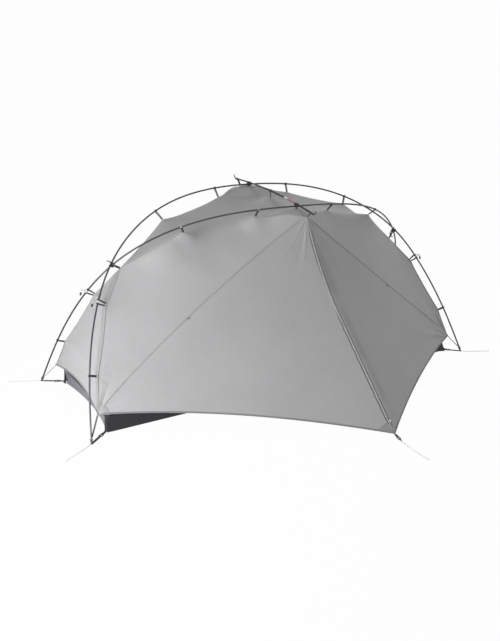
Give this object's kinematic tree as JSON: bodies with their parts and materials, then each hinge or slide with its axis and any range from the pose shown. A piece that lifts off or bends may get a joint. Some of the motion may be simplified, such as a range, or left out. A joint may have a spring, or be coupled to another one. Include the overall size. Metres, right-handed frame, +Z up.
{
  "type": "backpacking tent",
  "caption": "Pitched backpacking tent: a fly clipped under crossing poles and a ridge pole, zipped vestibules that open, and an inner canopy with a door over a bathtub floor.",
  "frame": {"origin": "on the ground under the middle of the pitched tent, half-way between the pole tips", "axes": "+X from the foot end to the head end, -Y to the front vestibule, +Z up"},
  "size_m": [2.7231, 2.4834, 1.0628],
  "materials": {
    "fly": "thin coated nylon, matt with a soft sheen",
    "floor": "coated nylon",
    "inner": "thin uncoated nylon",
    "pole": "charcoal anodised tube",
    "alloy": "bright",
    "webbing": "woven tape",
    "plastic": "moulded",
    "cord": "braided cord"
  },
  "bodies": {
    "tent": {"bathtub_floor": "floor", "clip_foot_guy_front": "webbing", "clip_foot_guy_rear": "webbing", "clip_foot_low_front": "webbing", "clip_foot_low_rear": "webbing", "clip_foot_roof_front": "webbing", "clip_foot_roof_rear": "webbing", "clip_foot_shoulder_front": "webbing", "clip_foot_shoulder_rear": "webbing", "clip_head_guy_front": "webbing", "clip_head_guy_rear": "webbing", "clip_head_low_front": "webbing", "clip_head_low_rear": "webbing", "clip_head_roof_front": "webbing", "clip_head_roof_rear": "webbing", "clip_head_shoulder_front": "webbing", "clip_head_shoulder_rear": "webbing", "corner_strap_foot_front": "webbing", "corner_strap_foot_rear": "webbing", "corner_strap_head_front": "webbing", "corner_strap_head_rear": "webbing", "crossing_clip_foot": "plastic", "crossing_clip_head": "plastic", "fly_end_foot": "fly", "fly_end_head": "fly", "fly_roof": "fly", "fly_side_foot_front": "fly", "fly_side_foot_rear": "fly", "fly_side_head_front": "fly", "fly_side_head_rear": "fly", "inner_canopy": "inner", "pole_front_arch": "pole", "pole_front_foot_leg": "pole", "pole_front_head_leg": "pole", "pole_rear_arch": "pole", "pole_rear_foot_leg": "pole", "pole_rear_head_leg": "pole", "pole_tip_foot_front": "alloy", "pole_tip_foot_rear": "alloy", "pole_tip_head_front": "alloy", "pole_tip_head_rear": "alloy", "ridge_hook_front": "plastic", "ridge_hook_rear": "plastic", "ridge_pole_front": "pole", "ridge_pole_rear": "pole", "ridge_sleeve": "alloy", "ridge_tip_front": "webbing", "ridge_tip_rear": "webbing", "stake_buckle_front": "webbing", "stake_cord_foot_front": "cord", "stake_cord_foot_rear": "cord", "stake_cord_head_front": "cord", "stake_cord_vestibule": "cord"},
    "door_foot_front": {"fly_door_foot_front": "fly"},
    "door_head_front": {"fly_door_head_front": "fly"},
    "zip_pull_front": {"zip_slider_front": "plastic"},
    "door_foot_rear": {"fly_door_foot_rear": "fly"},
    "door_head_rear": {"fly_door_head_rear": "fly"},
    "zip_pull_rear": {"zip_slider_rear": "plastic"},
    "inner_door_leaf": {"inner_door": "inner"}
  },
  "joints": [
    {"name": "door_foot_front_hinge", "type": "hinge", "parent": "tent", "child": "door_foot_front", "pos_m": [-0.51526, -0.35512, 0.56334], "axis": [-0.8112, 0.0218, -0.5843], "range_deg": [0, 110]},
    {"name": "door_head_front_hinge", "type": "hinge", "parent": "tent", "child": "door_head_front", "pos_m": [0.61782, -0.38605, 0.55339], "axis": [-0.7523, 0.0211, 0.6585], "range_deg": [0, 110]},
    {"name": "zip_slider_front_slide", "type": "slide", "parent": "door_head_front", "child": "zip_pull_front", "axis": [-0.0696, 0.6814, 0.7286], "range_m": [0, 0.6]},
    {"name": "door_foot_rear_hinge", "type": "hinge", "parent": "tent", "child": "door_foot_rear", "pos_m": [-0.51526, 0.35512, 0.56334], "axis": [0.8112, 0.0218, 0.5843], "range_deg": [0, 110]},
    {"name": "door_head_rear_hinge", "type": "hinge", "parent": "tent", "child": "door_head_rear", "pos_m": [0.61782, 0.38605, 0.55339], "axis": [0.7523, 0.0211, -0.6585], "range_deg": [0, 110]},
    {"name": "zip_slider_rear_slide", "type": "slide", "parent": "door_head_rear", "child": "zip_pull_rear", "axis": [-0.0696, -0.6814, 0.7286], "range_m": [0, 0.6]},
    {"name": "inner_door_hinge", "type": "hinge", "parent": "tent", "child": "inner_door_leaf", "pos_m": [0.16418, -0.3713, 0.13604], "axis": [0.9999, -0.0152, 0], "range_deg": [0, 100]}
  ]
}
